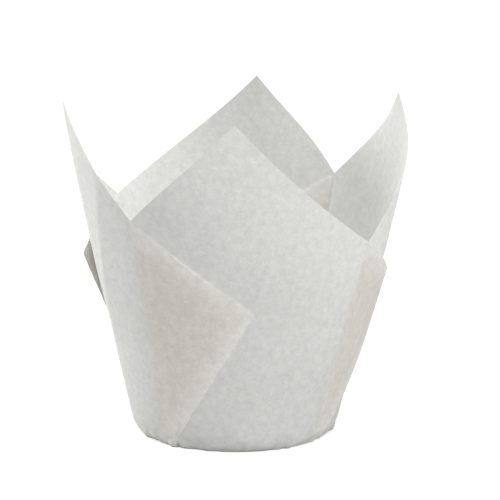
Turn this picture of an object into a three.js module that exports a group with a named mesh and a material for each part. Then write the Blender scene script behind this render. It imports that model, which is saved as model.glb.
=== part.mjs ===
// A tulip baking cup: one square of greaseproof paper, pressed round a plug into a
// cup. The four corners stand up as petals, and the spare paper between them lies
// outside the wall as four knife pleats, each folded over the petal that follows it.
//
// Millimetres, +Z up. The origin is the middle of the underside of the floor, the
// front petal is towards -Y, and turns are degrees counter-clockwise from +X.
import * as THREE from "three";

// Driving dimensions of the pressed cup
const baseRadius = 25.2;
const wallAngle = 11.77;
const wallOvalPerHeight = 0.00107;
const wallLeanPerHeight = 0.023;

// The paper and the room between two layers of a pleat
const paperThickness = 0.07;
const layerGap = 0.35;
const pleatFootWidth = 3.4;

// The four petals: where each tip stands, how far above the common height, how far it
// curls out or in, and how much its two cut edges sag between the tip and the notches
const tipHeight = 84.4;
const curlStartHeight = 42;
const petals = [
  { tipTurn: 13, tipAbove: 0, tipCurl: -6.2, edgeSags: [-0.2, -0.2] },
  { tipTurn: 84.5, tipAbove: -0.4, tipCurl: -8, edgeSags: [0.1, 0.5] },
  { tipTurn: 191, tipAbove: 1, tipCurl: -1.6, edgeSags: [0.15, -0.1] },
  { tipTurn: 267.4, tipAbove: 0.1, tipCurl: -3, edgeSags: [0.15, 0.45] },
];

// The four pleats: pleat n lies between petal n and the next one. Its seam runs from
// the foot to the notch, and its flap reaches on to the corner of the fold. On the cone
// the straight fold bows out a little, and the cut edge of the flap sags.
const notchHeight = 56.4;
const cornerHeight = 39;
const springPower = 1.7;
const foldBow = 0.28;
const flapEdgeSag = 0.15;
const pleats = [
  { footTurn: 50, notchTurn: 52.9, notchAbove: 2.7, cornerTurn: 100, cornerAbove: -0.5, spring: 0.6 },
  { footTurn: 141, notchTurn: 143.1, notchAbove: -1, cornerTurn: 177, cornerAbove: 5.2, spring: 2.4 },
  { footTurn: 226, notchTurn: 228.2, notchAbove: 2.6, cornerTurn: 276.5, cornerAbove: -2.2, spring: 0.2 },
  { footTurn: 320, notchTurn: 326, notchAbove: -4.4, cornerTurn: 374, cornerAbove: -2.4, spring: 3 },
];

// How finely the sheet is divided
const petalColumns = 14;
const flapColumns = 6;
const wallRows = 8;

const greaseproofPaper = new THREE.MeshStandardMaterial({
  name: "greaseproof_paper",
  color: 0xe9e9e6,
  roughness: 0.72,
  metalness: 0,
  side: THREE.DoubleSide,
});

const { degToRad, radToDeg, lerp } = THREE.MathUtils;

// Petal n starts at the seam before it, and pleat n starts at the seam after it.
const seamAfter = (n) => {
  const pleat = pleats[n % 4];
  return { foot: pleat.footTurn, notch: pleat.notchTurn, height: notchHeight + pleat.notchAbove };
};
const seamBefore = (n) => {
  const { foot, notch, height } = seamAfter(n + 3);
  const lap = n === 0 ? 360 : 0;
  return { foot: foot - lap, notch: notch - lap, height };
};

// How far the petals curl out of the plain wall at a turn and a height
function curlAt(turn, height) {
  const rise = Math.max(0, height - curlStartHeight);
  let curl = 0;
  petals.forEach((petal, n) => {
    const away = THREE.MathUtils.euclideanModulo(turn - petal.tipTurn + 180, 360) - 180;
    const side = away < 0 ? petal.tipTurn - seamBefore(n).notch : seamAfter(n).notch - petal.tipTurn;
    if (Math.abs(away) < side) {
      const across = Math.cos((Math.PI / 2) * (away / side)) ** 2;
      curl += petal.tipCurl * across * (rise / (tipHeight - curlStartHeight)) ** 2;
    }
  });
  return curl;
}

// A point of the wall: a leaning cone that gets oval towards the top
function wallPoint(turn, height, outward) {
  const angle = degToRad(turn);
  const radius = baseRadius + height * Math.tan(degToRad(wallAngle)) + outward + curlAt(turn, height);
  const oval = wallOvalPerHeight * height;
  return new THREE.Vector3(
    radius * (1 + oval) * Math.cos(angle) + wallLeanPerHeight * height,
    radius * (1 - oval) * Math.sin(angle),
    height,
  );
}

// A column of the sheet, from the floor's edge up to the cut edge of the paper
function column({ footTurn, topTurn, topHeight, footOut, topOut, spring = 0, bow = 0 }) {
  return Array.from({ length: wallRows + 1 }, (_, row) => {
    const share = row / wallRows;
    const outward = lerp(footOut, topOut, share) + spring * share ** springPower;
    return wallPoint(lerp(footTurn, topTurn, share * (1 + bow * (1 - share))), share * topHeight, outward);
  });
}

// A petal crosses from the innermost layer at one seam to the outermost at the next.
// Its cut edges are straight in the flat sheet, and sag or bulge as the petal curls.
function petalColumnsOf(n) {
  const start = seamBefore(n);
  const end = seamAfter(n);
  const petal = petals[n];
  return Array.from({ length: petalColumns + 1 }, (_, i) => {
    const across = i / petalColumns;
    const fromTip = Math.abs(2 * across - 1);
    const seam = across < 0.5 ? start : end;
    const edgeSag = petal.edgeSags[across < 0.5 ? 0 : 1];
    const drop = fromTip * (1 + edgeSag * (1 - fromTip));
    return column({
      footTurn: lerp(start.foot, end.foot, across),
      topTurn: lerp(petal.tipTurn, seam.notch, fromTip),
      topHeight: lerp(tipHeight + petal.tipAbove, seam.height, drop),
      footOut: 2 * layerGap * across,
      topOut: 2 * layerGap * across,
    });
  });
}

// One layer of a pleat's flap, from the seam out to the fold. It lies so many gaps
// outside the petal that it covers, and springs off it towards the corner.
function flapColumn(n, across, layers, pastFold = 0) {
  const pleat = pleats[n];
  const next = seamAfter(n + 1);
  const lap = n === 3 ? 360 : 0;
  const footReach = radToDeg(pleatFootWidth / baseRadius);
  const footTurn = pleat.footTurn + footReach * across;
  const topTurn = lerp(pleat.notchTurn, pleat.cornerTurn, across);
  const footShare = (footTurn - pleat.footTurn) / (next.foot + lap - pleat.footTurn);
  const topShare = (topTurn - pleat.notchTurn) / (next.notch + lap - pleat.notchTurn);
  const turnPerGap = radToDeg(layerGap / baseRadius);
  const drop = across * (1 + flapEdgeSag * (1 - across));
  return column({
    footTurn: footTurn + pastFold * turnPerGap,
    topTurn: topTurn + pastFold * turnPerGap,
    topHeight: lerp(notchHeight + pleat.notchAbove, cornerHeight + pleat.cornerAbove, drop),
    footOut: layerGap * (2 * footShare + layers),
    topOut: layerGap * (2 * topShare + layers),
    spring: pleat.spring * across ** springPower,
    bow: foldBow * across,
  });
}

// A pleat goes out along its outer layer, turns at the fold, comes back along its
// inner layer and turns again at the seam, where the next petal starts.
function pleatColumnsOf(n) {
  const shares = Array.from({ length: flapColumns + 1 }, (_, i) => i / flapColumns);
  const outer = shares.slice(1).map((across) => flapColumn(n, across, 2));
  const inner = [...shares].reverse().map((across) => flapColumn(n, across, 1));
  return [...outer, flapColumn(n, 1, 1.5, 0.5), ...inner, flapColumn(n, 0, 0.5, -0.5)];
}

// The middle surface of the paper: the wall's columns, then the floor inside them
function paperSurface() {
  const columns = petals.flatMap((_, n) => [...petalColumnsOf(n), ...pleatColumnsOf(n)]);
  const points = columns.flat();
  const rows = wallRows + 1;
  const faces = [];
  columns.forEach((_, i) => {
    const here = i * rows;
    const next = ((i + 1) % columns.length) * rows;
    for (let row = 0; row < wallRows; row += 1) {
      faces.push([here + row, next + row, next + row + 1]);
      faces.push([here + row, next + row + 1, here + row + 1]);
    }
  });
  const outline = columns.map(([foot]) => new THREE.Vector2(foot.x, foot.y));
  THREE.ShapeUtils.triangulateShape(outline, []).forEach(([a, b, c]) => {
    faces.push([a * rows, c * rows, b * rows]);
  });
  const cutEdge = columns.map((_, i) => i * rows + wallRows);
  return { points, faces, cutEdge, isFloor: (index) => index % rows === 0 };
}

// Normals of the middle surface, each face counted by its angle at the point
function pointNormals(points, faces) {
  const normals = points.map(() => new THREE.Vector3());
  faces.forEach((face) => {
    const [a, b, c] = face.map((index) => points[index]);
    const normal = new THREE.Triangle(a, b, c).getNormal(new THREE.Vector3());
    face.forEach((index, corner) => {
      const here = points[index];
      const toNext = points[face[(corner + 1) % 3]].clone().sub(here);
      const toLast = points[face[(corner + 2) % 3]].clone().sub(here);
      normals[index].addScaledVector(normal, toNext.angleTo(toLast));
    });
  });
  return normals.map((normal) => normal.normalize());
}

// The paper gets its thickness: both faces of the middle surface, joined along the
// cut edge. The floor's two faces lie flat at zero and at one thickness.
function thickened({ points, faces, cutEdge, isFloor }) {
  const normals = pointNormals(points, faces);
  const side = (direction) => points.map((point, index) => {
    const moved = point.clone().addScaledVector(normals[index], (direction * paperThickness) / 2);
    moved.z = isFloor(index) ? paperThickness * (direction < 0) : moved.z + paperThickness / 2;
    return moved;
  });
  const count = points.length;
  const positions = [...side(1), ...side(-1)].flatMap((point) => point.toArray());
  const indices = faces.flatMap(([a, b, c]) => [a, b, c, a + count, c + count, b + count]);
  cutEdge.forEach((here, i) => {
    const next = cutEdge[(i + 1) % cutEdge.length];
    indices.push(here, next, next + count, here, next + count, here + count);
  });
  const geometry = new THREE.BufferGeometry();
  geometry.setAttribute("position", new THREE.Float32BufferAttribute(positions, 3));
  geometry.setIndex(indices);
  geometry.computeVertexNormals();
  return geometry;
}

const foldedSheet = new THREE.Mesh(thickened(paperSurface()), greaseproofPaper);
foldedSheet.name = "folded_sheet";

const tulipCup = new THREE.Group();
tulipCup.name = "tulip_baking_cup";
tulipCup.add(foldedSheet);

export default tulipCup;
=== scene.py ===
"""A tulip baking cup of greaseproof paper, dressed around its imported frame."""
import math

import bmesh
import bpy
from mathutils import Matrix, Vector, noise


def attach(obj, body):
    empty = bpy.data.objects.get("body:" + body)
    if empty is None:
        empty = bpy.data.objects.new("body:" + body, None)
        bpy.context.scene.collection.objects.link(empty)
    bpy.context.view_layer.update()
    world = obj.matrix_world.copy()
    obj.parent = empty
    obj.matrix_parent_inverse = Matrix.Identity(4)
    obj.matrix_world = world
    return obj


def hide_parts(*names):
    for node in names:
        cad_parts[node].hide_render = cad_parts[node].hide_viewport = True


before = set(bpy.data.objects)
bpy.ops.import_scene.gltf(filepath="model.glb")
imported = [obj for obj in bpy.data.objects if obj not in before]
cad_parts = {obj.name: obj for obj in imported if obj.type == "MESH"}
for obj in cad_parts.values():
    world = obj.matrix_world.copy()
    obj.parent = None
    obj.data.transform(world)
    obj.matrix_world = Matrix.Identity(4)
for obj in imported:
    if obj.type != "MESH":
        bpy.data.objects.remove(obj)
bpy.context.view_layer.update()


# The folded sheet
# One 160 mm square of white greaseproof paper, pressed round a plug. The corners stand
# up as petals, and the spare paper between them is folded over the outside of the next
# petal as knife pleats.

# Lengths of the sheet are in mm, and turns in degrees counter-clockwise from +X.
MM = 0.001
PAPER_THICKNESS = 0.07
BASE_RADIUS = 25.2
WALL_ANGLE = math.radians(11.77)
WALL_OVAL_PER_HEIGHT = 0.00107
WALL_LEAN_PER_HEIGHT = 0.023

# Each petal: turn of its tip, height, curl of the tip out or in, and the sag of the
# cut edges on its two sides.
CURL_START_HEIGHT = 42.0
PETALS = (
    {"turn": 13.0, "height": 84.4, "curl": -6.2, "sags": (-0.2, -0.2)},
    {"turn": 84.5, "height": 84.0, "curl": -8.0, "sags": (0.1, 0.5)},
    {"turn": 191.0, "height": 85.4, "curl": -1.6, "sags": (0.15, -0.1)},
    {"turn": 267.4, "height": 84.5, "curl": -3.0, "sags": (0.15, 0.45)},
)

# The layers of a pleat lie close together, as in real paper. In the CAD part they need
# more room. The flap is this wide at its foot.
LAYER_GAP = 0.08
PLEAT_FOOT_WIDTH = 3.4

# Each pleat: turns of the seam's foot and notch and of the fold's corner, with the
# heights of both, and how far the corner springs off the wall. The spring grows by a
# power towards the corner, the fold bows out, and the cut edge of the flap sags.
SPRING_POWER = 1.7
FOLD_BOW = 0.28
FLAP_EDGE_SAG = 0.15
PLEATS = (
    {"foot": 50.0, "notch": 52.9, "notch_z": 59.1, "corner": 100.0, "corner_z": 38.5, "spring": 0.6},
    {"foot": 141.0, "notch": 143.1, "notch_z": 55.4, "corner": 177.0, "corner_z": 44.2, "spring": 2.6},
    {"foot": 226.0, "notch": 228.2, "notch_z": 59.0, "corner": 276.5, "corner_z": 36.8, "spring": 0.05},
    {"foot": 320.0, "notch": 326.0, "notch_z": 52.0, "corner": 374.0, "corner_z": 36.6, "spring": 3.0},
)

# How finely the sheet is divided. The power brings the rows closer together towards
# the base, where the crumples are.
PETAL_COLUMNS = 60
FLAP_COLUMNS = 20
TURN_COLUMNS = 4
WALL_ROWS = 72
ROW_POWER = 1.5

# Points closer than this are one point, and points below this height are at the foot.
MERGE_DISTANCE = 0.002
FOOT_HEIGHT = 0.01

# Further than this from a flap, a point's distances to seam and rim stay the same.
FLAP_MARGIN = 4.0

# Edges that bend more than this are shaded sharp.
SHARP_EDGE = math.radians(55)


def mix(low, high, share):
    """The value a share of the way from low to high."""
    return low + (high - low) * share


def seam(index):
    """The seam after petal index, with its turns counted on past a full circle."""
    lap = 360.0 * (index // 4)
    pleat = PLEATS[index % 4]
    return {"foot": pleat["foot"] + lap, "notch": pleat["notch"] + lap, "height": pleat["notch_z"]}


def curl_at(turn, height):
    """How far the petals curl out of the plain wall at a turn and a height."""
    rise = max(0.0, height - CURL_START_HEIGHT)
    total = 0.0
    for index, petal in enumerate(PETALS):
        away = (turn - petal["turn"] + 180.0) % 360.0 - 180.0
        before = (petal["turn"] - seam(index - 1)["notch"]) % 360.0
        after = (seam(index)["notch"] - petal["turn"]) % 360.0
        side = before if away < 0 else after
        if abs(away) < side:
            across = math.cos(math.pi / 2 * away / side) ** 2
            total += petal["curl"] * across * (rise / (petal["height"] - CURL_START_HEIGHT)) ** 2
    return total


# Handling leaves soft waves in the paper, which start at the base and have their full
# height some way up. Pressing leaves small crumples and wider dents along the rounded
# edge of the base, and each of these fades over its reach up the wall.
COCKLE_SIZE = 17.0
COCKLE_HEIGHT = 0.28
COCKLE_FULL_FROM = 12.0
CRUMPLE_SIZE = 3.0
CRUMPLE_HEIGHT = 1.6
CRUMPLE_MEAN = 0.2
CRUMPLE_REACH = 2.2
DENT_SIZE = 8.0
DENT_HEIGHT = 0.6
DENT_REACH = 7.0
BASE_ROUND = 1.3
BASE_ROUND_REACH = 1.4

# Each crease: the turn that it would start from at the base, its lean in degrees a mm,
# its two ends and how far it stands out. It fades over its reach to both sides.
CREASE_REACH = 2.8
CREASES = (
    {"foot": 187.0, "lean": 0.39, "low": 16.0, "high": 78.0, "height": 0.75},
    {"foot": 199.0, "lean": 0.21, "low": 4.0, "high": 28.0, "height": 0.14},
    {"foot": 303.0, "lean": -0.1, "low": 2.0, "high": 40.0, "height": 0.1},
    {"foot": 62.0, "lean": 0.15, "low": 20.0, "high": 60.0, "height": 0.14},
)


def crease_at(turn, height):
    """How far the creases stand out at a turn and a height."""
    total = 0.0
    for crease in CREASES:
        if crease["low"] < height < crease["high"]:
            along = (height - crease["low"]) / (crease["high"] - crease["low"])
            away = (turn - crease["foot"] - crease["lean"] * height + 180.0) % 360.0 - 180.0
            reach = math.radians(abs(away)) * BASE_RADIUS / CREASE_REACH
            total += crease["height"] * math.sin(math.pi * along) * math.exp(-reach)
    return total


def cockle_at(turn, height):
    """The waves, creases and crumples of the paper, the same for every layer."""
    angle = math.radians(turn)
    place = Vector((math.cos(angle), math.sin(angle), 0.0)) * BASE_RADIUS
    place += Vector((0.0, 0.0, height))
    wave = noise.noise(place / COCKLE_SIZE) * COCKLE_HEIGHT * min(1.0, height / COCKLE_FULL_FROM)
    fold = abs(noise.noise(place / CRUMPLE_SIZE)) - CRUMPLE_MEAN
    crumple = fold * CRUMPLE_HEIGHT * math.exp(-height / CRUMPLE_REACH)
    dent = noise.noise(place / DENT_SIZE) * DENT_HEIGHT * math.exp(-height / DENT_REACH)
    rounding = BASE_ROUND * math.exp(-height / BASE_ROUND_REACH)
    return wave + crease_at(turn, height) + crumple + dent - rounding


def wall_point(turn, height, outward):
    """A point of the wall: a leaning cone that gets oval towards the top."""
    angle = math.radians(turn)
    radius = BASE_RADIUS + height * math.tan(WALL_ANGLE) + outward
    radius += curl_at(turn, height) + cockle_at(turn, height)
    oval = WALL_OVAL_PER_HEIGHT * height
    return Vector((
        radius * (1 + oval) * math.cos(angle) + WALL_LEAN_PER_HEIGHT * height,
        radius * (1 - oval) * math.sin(angle),
        height,
    ))


def petal_columns(index):
    """A petal runs from the inner layer at one seam to the outer layer at the next."""
    start, end, petal = seam(index - 1), seam(index), PETALS[index]
    columns = []
    for step in range(PETAL_COLUMNS + 1):
        across = step / PETAL_COLUMNS
        near, sag = (start, petal["sags"][0]) if across < 0.5 else (end, petal["sags"][1])
        from_tip = abs(2 * across - 1)
        drop = from_tip * (1 + sag * (1 - from_tip))
        columns.append({
            "foot": mix(start["foot"], end["foot"], across),
            "top": mix(petal["turn"], near["notch"], from_tip),
            "height": mix(petal["height"], near["height"], drop),
            "foot_out": 2 * LAYER_GAP * across,
            "top_out": 2 * LAYER_GAP * across,
        })
    return columns


def flap_column(index, across, layers, past=0.0):
    """One line of a pleat's flap, a number of layers outside the petal it covers."""
    pleat, here, after = PLEATS[index], seam(index), seam(index + 1)
    foot = here["foot"] + math.degrees(PLEAT_FOOT_WIDTH / BASE_RADIUS) * across
    top = mix(pleat["notch"], pleat["corner"], across)
    foot_share = (foot - here["foot"]) / (after["foot"] - here["foot"])
    top_share = (top - here["notch"]) / (after["notch"] - here["notch"])
    past_turn = past * math.degrees(LAYER_GAP / BASE_RADIUS)
    drop = across * (1 + FLAP_EDGE_SAG * (1 - across))
    return {
        "foot": foot + past_turn,
        "top": top + past_turn,
        "height": mix(pleat["notch_z"], pleat["corner_z"], drop),
        "foot_out": LAYER_GAP * (2 * foot_share + layers),
        "top_out": LAYER_GAP * (2 * top_share + layers),
        "spring": pleat["spring"] * across ** SPRING_POWER,
        "bow": FOLD_BOW * across,
        "flap": index,
    }


def pleat_columns(index):
    """Out along the outer layer, round the fold, back inside it, and round the seam."""
    # The outer layer is two gaps off the petal below and the inner one is one gap off,
    # so the fold turns half way between them, and the seam turns half a gap off.
    shares = [step / FLAP_COLUMNS for step in range(FLAP_COLUMNS + 1)]
    bends = [math.pi * step / TURN_COLUMNS for step in range(1, TURN_COLUMNS)]
    columns = [flap_column(index, across, 2) for across in shares[1:]]
    columns += [flap_column(index, 1, 1.5 + 0.5 * math.cos(b), 0.5 * math.sin(b)) for b in bends]
    columns += [flap_column(index, across, 1) for across in reversed(shares)]
    columns += [flap_column(index, 0, 0.5 + 0.5 * math.cos(b), -0.5 * math.sin(b)) for b in bends]
    return columns


def column_point(column, share):
    """The place of a point a share of the way up its column, and its turn."""
    turn = mix(column["foot"], column["top"], share * (1 + column.get("bow", 0.0) * (1 - share)))
    outward = mix(column["foot_out"], column["top_out"], share)
    outward += column.get("spring", 0.0) * share ** SPRING_POWER
    return wall_point(turn, share * column["height"], outward), turn


def seam_distance(index, turn, height):
    """How far a turn lies past the seam of a pleat, in mm along the wall."""
    start = seam(index)
    seam_turn = mix(start["foot"], start["notch"], min(1.0, height / start["height"]))
    radius = BASE_RADIUS + height * math.tan(WALL_ANGLE)
    return math.radians(turn - seam_turn) * radius


def rim_distance(index, turn, height):
    """How far a turn lies inside the fold and the cut edge of a pleat, in mm."""
    start, pleat = seam(index), PLEATS[index]
    radius = BASE_RADIUS + height * math.tan(WALL_ANGLE)
    share = min(1.0, height / pleat["corner_z"])
    fold_foot = start["foot"] + math.degrees(PLEAT_FOOT_WIDTH / BASE_RADIUS)
    fold_turn = mix(fold_foot, pleat["corner"], share * (1 + FOLD_BOW * (1 - share)))
    slope = (start["height"] - pleat["corner_z"]) / (pleat["corner"] - start["notch"])
    to_edge = start["height"] - slope * (turn - start["notch"]) - height
    return min(math.radians(fold_turn - turn) * radius, to_edge)


def flap_depths(turn, height):
    """How far past its seam and inside its rim a flap covers this point of a petal."""
    laps = [(index, turn + lap) for index in range(4) for lap in (0.0, 360.0)]
    depths = max(((seam_distance(index, at, height), rim_distance(index, at, height))
                  for index, at in laps), key=min)
    return depths if min(depths) > -FLAP_MARGIN else (-FLAP_MARGIN, -FLAP_MARGIN)


def sheet_columns():
    """All columns round the cup. The last is the first again, a full circle on."""
    columns = []
    for index in range(4):
        columns += petal_columns(index) + pleat_columns(index)
    columns.append({key: value + 360.0 if key in ("foot", "top") else value
                    for key, value in columns[0].items()})
    return columns


def folded_sheet():
    """The sheet as a mesh: one grid wound round the wall, and the floor inside it."""
    columns = sheet_columns()
    bm = bmesh.new()
    bmesh.ops.create_grid(bm, x_segments=len(columns) - 1, y_segments=WALL_ROWS, size=0.5)
    seam_layer = bm.verts.layers.float.new("seam_distance")
    rim_layer = bm.verts.layers.float.new("rim_distance")
    # The grid reaches from -0.5 to 0.5 both ways: across the columns and up along them.
    for vert in bm.verts:
        column = columns[round((vert.co.x + 0.5) * (len(columns) - 1))]
        place, turn = column_point(column, max(0.0, vert.co.y + 0.5) ** ROW_POWER)
        if "flap" in column:
            vert[seam_layer] = seam_distance(column["flap"], turn, place.z)
            vert[rim_layer] = max(0.0, rim_distance(column["flap"], turn, place.z))
        else:
            vert[seam_layer], vert[rim_layer] = flap_depths(turn, place.z)
        vert.co = place
        vert.tag = "flap" not in column
    bmesh.ops.remove_doubles(bm, verts=bm.verts, dist=MERGE_DISTANCE)

    # The floor is a fan from the feet of the petals to the middle. The pleats stand
    # outside it, folded up from the same edge.
    petal_feet = [edge for edge in bm.edges if edge.is_boundary
                  and all(vert.tag and vert.co.z < FOOT_HEIGHT for vert in edge.verts)]
    spokes = bmesh.ops.extrude_edge_only(bm, edges=petal_feet)["geom"]
    middle = [part for part in spokes if isinstance(part, bmesh.types.BMVert)]
    bmesh.ops.pointmerge(bm, verts=middle, merge_co=(0.0, 0.0, 0.0))
    for vert in bm.verts:
        if vert.co.z < FOOT_HEIGHT:
            vert[seam_layer] = vert[rim_layer] = -FLAP_MARGIN

    # Thickening puts the middle of the floor below the rest of it, so what lies under
    # the floor goes back to its upper face.
    bm.normal_update()
    bmesh.ops.solidify(bm, geom=list(bm.faces), thickness=PAPER_THICKNESS)
    for vert in bm.verts:
        if vert.co.z < 0.0:
            vert.co.z = PAPER_THICKNESS
    bmesh.ops.recalc_face_normals(bm, faces=bm.faces)
    bmesh.ops.scale(bm, vec=(MM, MM, MM), verts=bm.verts)
    mesh = bpy.data.meshes.new("greaseproof_sheet")
    bm.to_mesh(mesh)
    bm.free()
    return mesh


def linear(code):
    """An sRGB hex colour as the linear colour that Blender's sockets take."""
    colour = []
    for place in (1, 3, 5):
        part = int(code[place:place + 2], 16) / 255.0
        colour.append(part / 12.92 if part <= 0.04045 else ((part + 0.055) / 1.055) ** 2.4)
    return colour + [1.0]


def add_node(tree, kind, settings=None, inputs=None, links=None):
    """Adds a node with its settings, its sockets' values and the links into it."""
    node = tree.nodes.new(kind)
    for name, value in (settings or {}).items():
        setattr(node, name, value)
    for name, value in (inputs or {}).items():
        node.inputs[name].default_value = value
    for name, socket in (links or {}).items():
        tree.links.new(socket, node.inputs[name])
    return node


# Greaseproof paper: pulp beaten until the fibres close up, so it is white and smooth
# with a dull sheen, and a share of the light goes through it. A flap has painted light
# along its rim, lighter than the plain paper. Further inside, where three layers lie
# together, it has painted shade, darker and warmer, for the light that they hold back.
PAPER_WHITE = "#dedfdd"
FLAP_RIM_PAINTED_LIGHT = "#f5f4ef"
LAYERED_PAINTED_SHADE = "#e9e6de"
PAPER_ROUGHNESS = 0.58
PAPER_IOR = 1.47
THROUGH_WHITE = "#f4f4f0"
THROUGH_SHARE = 0.34

# The flaps' painted light and shade change over so many mm to both sides of a seam and
# of a rim, and between two depths inside the rim. A painted highlight lies as a lighter
# line along the rim.
SEAM_BLUR = 0.9
RIM_BLUR = 0.4
PAINTED_SHADE_FROM = -1.0
PAINTED_SHADE_TO = 9.0
FOLD_HIGHLIGHT_WIDTH = 0.9
FOLD_HIGHLIGHT_GAIN = 0.06

# The cloudy spread of the pulp, and its fibres, which are too fine to show and so are
# drawn as flecks of about half a millimetre. The tones are the darkest and the
# lightest share of the paper's colour, reached where the noise is low and high.
CLOUDS = {"size": 1.6, "detail": 5.0, "roughness": 0.62, "tones": (0.85, 1.11)}
FLECKS = {"size": 0.45, "detail": 3.0, "roughness": 0.7, "tones": (0.88, 1.1)}
NOISE_LOW = 0.25
NOISE_HIGH = 0.75
BUMP_STRENGTH = 0.25
BUMP_HEIGHT = 0.03


def mottling(tree, place, kind):
    """The tone of the clouds or the flecks at a place of the paper."""
    spread = add_node(tree, "ShaderNodeTexNoise", inputs={
        "Scale": 1 / (kind["size"] * MM), "Detail": kind["detail"],
        "Roughness": kind["roughness"]}, links={"Vector": place})
    tone = add_node(tree, "ShaderNodeMapRange", inputs={
        "From Min": NOISE_LOW, "From Max": NOISE_HIGH,
        "To Min": kind["tones"][0], "To Max": kind["tones"][1]}, links={
        "Value": spread.outputs["Fac"]})
    return tone.outputs["Result"]


def paper_colour_and_painted_flap_light(tree, past_seam, inside_rim):
    """The paper's colour: plain on a petal, with painted light along a flap's rim and painted shade
    deeper inside it.
    """
    past_rim = add_node(tree, "ShaderNodeMapRange", inputs={
        "From Min": -RIM_BLUR, "From Max": RIM_BLUR}, links={"Value": inside_rim})
    on_flap = add_node(tree, "ShaderNodeMath", {"operation": "MULTIPLY"}, links={
        0: past_seam, 1: past_rim.outputs["Result"]})
    depth = add_node(tree, "ShaderNodeMapRange", {"interpolation_type": "SMOOTHSTEP"}, {
        "From Min": PAINTED_SHADE_FROM, "From Max": PAINTED_SHADE_TO}, {"Value": inside_rim})
    flap_painted_light_and_shade = add_node(tree, "ShaderNodeMix", {"data_type": "RGBA"}, {
        "A": linear(FLAP_RIM_PAINTED_LIGHT), "B": linear(LAYERED_PAINTED_SHADE)}, {"Factor": depth.outputs["Result"]})
    tint = add_node(tree, "ShaderNodeMix", {"data_type": "RGBA"}, {"A": linear(PAPER_WHITE)}, {
        "Factor": on_flap.outputs["Value"], "B": flap_painted_light_and_shade.outputs["Result"]})
    return tint.outputs["Result"]


def painted_fold_highlight(tree, past_seam, inside_rim):
    """The painted highlight of a fold: a gain in tone, more than one along the line of a fold."""
    off_rim = add_node(tree, "ShaderNodeMath", {"operation": "ABSOLUTE"}, links={0: inside_rim})
    near_rim = add_node(tree, "ShaderNodeMapRange", inputs={
        "From Max": FOLD_HIGHLIGHT_WIDTH, "To Min": 1.0, "To Max": 0.0}, links={
        "Value": off_rim.outputs["Value"]})
    line = add_node(tree, "ShaderNodeMath", {"operation": "MULTIPLY"}, links={
        0: near_rim.outputs["Result"], 1: past_seam})
    gain = add_node(tree, "ShaderNodeMath", {"operation": "MULTIPLY_ADD"}, {
        1: FOLD_HIGHLIGHT_GAIN, 2: 1.0}, {0: line.outputs["Value"]})
    return gain.outputs["Value"]


def greaseproof_paper():
    """The paper's material, on Object coordinates and the distances to seam and rim."""
    material = bpy.data.materials.new("greaseproof_paper")
    material.use_nodes = True
    tree = material.node_tree
    shader = tree.nodes["Principled BSDF"]
    shader.inputs["Roughness"].default_value = PAPER_ROUGHNESS
    shader.inputs["IOR"].default_value = PAPER_IOR
    to_seam = add_node(tree, "ShaderNodeAttribute", {"attribute_name": "seam_distance"})
    to_rim = add_node(tree, "ShaderNodeAttribute", {"attribute_name": "rim_distance"})
    inside_rim = to_rim.outputs["Fac"]
    past_seam = add_node(tree, "ShaderNodeMapRange", {"interpolation_type": "SMOOTHSTEP"}, {
        "From Min": -SEAM_BLUR, "From Max": SEAM_BLUR}, {
        "Value": to_seam.outputs["Fac"]}).outputs["Result"]
    place = add_node(tree, "ShaderNodeTexCoord").outputs["Object"]
    mottle = add_node(tree, "ShaderNodeMath", {"operation": "MULTIPLY"}, links={
        0: mottling(tree, place, CLOUDS), 1: mottling(tree, place, FLECKS)})
    # The mottling is the paper's own tone; the fold's painted highlight and the flaps' painted light
    # and shade go into the base colour with it.
    shade = add_node(tree, "ShaderNodeMath", {"operation": "MULTIPLY"}, links={
        0: mottle.outputs["Value"], 1: painted_fold_highlight(tree, past_seam, inside_rim)})
    colour = add_node(tree, "ShaderNodeVectorMath", {"operation": "SCALE"}, links={
        0: paper_colour_and_painted_flap_light(tree, past_seam, inside_rim), "Scale": shade.outputs["Value"]})
    bump = add_node(tree, "ShaderNodeBump", inputs={
        "Strength": BUMP_STRENGTH, "Distance": BUMP_HEIGHT * MM}, links={
        "Height": mottle.outputs["Value"]})
    tree.links.new(colour.outputs["Vector"], shader.inputs["Base Color"])
    tree.links.new(bump.outputs["Normal"], shader.inputs["Normal"])
    through = add_node(tree, "ShaderNodeBsdfTranslucent", inputs={"Color": linear(THROUGH_WHITE)})
    both = add_node(tree, "ShaderNodeMixShader", inputs={0: THROUGH_SHARE}, links={
        1: shader.outputs["BSDF"], 2: through.outputs["BSDF"]})
    tree.links.new(both.outputs["Shader"], tree.nodes["Material Output"].inputs["Surface"])
    return material


sheet_mesh = folded_sheet()
sheet_mesh.materials.append(greaseproof_paper())
sheet_mesh.shade_smooth()
sheet_mesh.set_sharp_from_angle(angle=SHARP_EDGE)
sheet = bpy.data.objects.new("folded_paper_sheet", sheet_mesh)
bpy.context.scene.collection.objects.link(sheet)
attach(sheet, "root")
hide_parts("folded_sheet")


# The floor
# A plain white sweep, so wide that its edge stays out of the picture. Its lift is a
# glow that only the camera sees, which makes it white but for the cup's faint shadow.
FLOOR_RADIUS = 4.0
FLOOR_SEGMENTS = 96
FLOOR_WHITE = "#bebebe"
FLOOR_LIFT = 0.55

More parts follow.
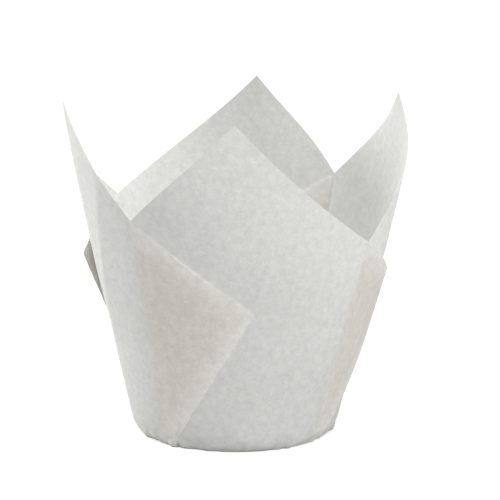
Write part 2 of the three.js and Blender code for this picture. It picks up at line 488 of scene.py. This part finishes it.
floor_mesh = bpy.data.meshes.new("white_sweep")
bm = bmesh.new()
bmesh.ops.create_circle(bm, cap_ends=True, segments=FLOOR_SEGMENTS, radius=FLOOR_RADIUS)
bm.to_mesh(floor_mesh)
bm.free()
sweep = bpy.data.materials.new("white_sweep")
sweep.use_nodes = True
sweep_shader = sweep.node_tree.nodes["Principled BSDF"]
sweep_shader.inputs["Base Color"].default_value = linear(FLOOR_WHITE)
sweep_shader.inputs["Roughness"].default_value = 1.0
sweep_shader.inputs["Specular IOR Level"].default_value = 0.0
sweep_shader.inputs["Emission Color"].default_value = (1.0, 1.0, 1.0, 1.0)
sweep_rays = add_node(sweep.node_tree, "ShaderNodeLightPath")
sweep_glow = add_node(sweep.node_tree, "ShaderNodeMath", {"operation": "MULTIPLY"}, {1: FLOOR_LIFT},
                      {0: sweep_rays.outputs["Is Camera Ray"]})
sweep.node_tree.links.new(sweep_glow.outputs["Value"], sweep_shader.inputs["Emission Strength"])
floor_mesh.materials.append(sweep)
floor = bpy.data.objects.new("floor", floor_mesh)
bpy.context.scene.collection.objects.link(floor)


# The light
# A soft white room lights the cup, at a lower level than the full white that the camera
# and reflections see. One lamp stands above in front, one low behind the left, and a
# weaker one low on the right.
ROOM_LEVEL = 0.43
world = bpy.data.worlds.new("white_room")
world.use_nodes = True
bpy.context.scene.world = world
room = world.node_tree.nodes["Background"]
room_rays = add_node(world.node_tree, "ShaderNodeLightPath")
seen = add_node(world.node_tree, "ShaderNodeMath", {"operation": "ADD", "use_clamp": True}, links={
    0: room_rays.outputs["Is Camera Ray"], 1: room_rays.outputs["Is Glossy Ray"]})
level = add_node(world.node_tree, "ShaderNodeMapRange", inputs={
    "To Min": ROOM_LEVEL, "To Max": 1.0}, links={"Value": seen.outputs["Value"]})
room.inputs["Color"].default_value = (1.0, 1.0, 1.0, 1.0)
world.node_tree.links.new(level.outputs["Result"], room.inputs["Strength"])


def add_sun(name, towards, share, spread):
    """A broad lamp: its share of full light on a facing surface, and its spread."""
    lamp = bpy.data.lights.new(name, "SUN")
    lamp.energy = share * math.pi
    lamp.angle = math.radians(spread)
    holder = bpy.data.objects.new(name, lamp)
    holder.matrix_world = Vector(towards).to_track_quat("Z", "Y").to_matrix().to_4x4()
    bpy.context.scene.collection.objects.link(holder)


add_sun("top_lamp", towards=(0.10, -0.38, 0.92), share=0.95, spread=50.0)
add_sun("left_lamp", towards=(-0.80, 0.50, 0.33), share=0.9, spread=35.0)
add_sun("right_lamp", towards=(0.90, -0.25, 0.33), share=0.35, spread=50.0)


# The camera
# It looks slightly down on the cup from the front, from 0.9 m. The axis of the cup
# stands in a column of the picture a little left of the middle. Lengths are in metres.
CAMERA_DISTANCE = 0.9
CAMERA_ELEVATION = math.radians(13.5)
CAMERA_REACH = 20.0
AIM_HEIGHT = 0.04546
AXIS_COLUMN = 235.0
PICTURE_SIZE = 500
FOCAL_PIXELS = 3600.0
SENSOR_WIDTH = 36.0

camera_data = bpy.data.cameras.new("camera")
camera_data.sensor_width = SENSOR_WIDTH
camera_data.lens = SENSOR_WIDTH * FOCAL_PIXELS / PICTURE_SIZE
camera_data.shift_x = (PICTURE_SIZE / 2 - AXIS_COLUMN) / PICTURE_SIZE
camera_data.clip_end = CAMERA_REACH
camera = bpy.data.objects.new("camera", camera_data)
back = Vector((0.0, -math.cos(CAMERA_ELEVATION), math.sin(CAMERA_ELEVATION)))
stand = Matrix.Translation(Vector((0.0, 0.0, AIM_HEIGHT)) + back * CAMERA_DISTANCE)
camera.matrix_world = stand @ back.to_track_quat("Z", "Y").to_matrix().to_4x4()
bpy.context.scene.collection.objects.link(camera)
bpy.context.scene.camera = camera
bpy.context.scene.view_settings.view_transform = "Standard"
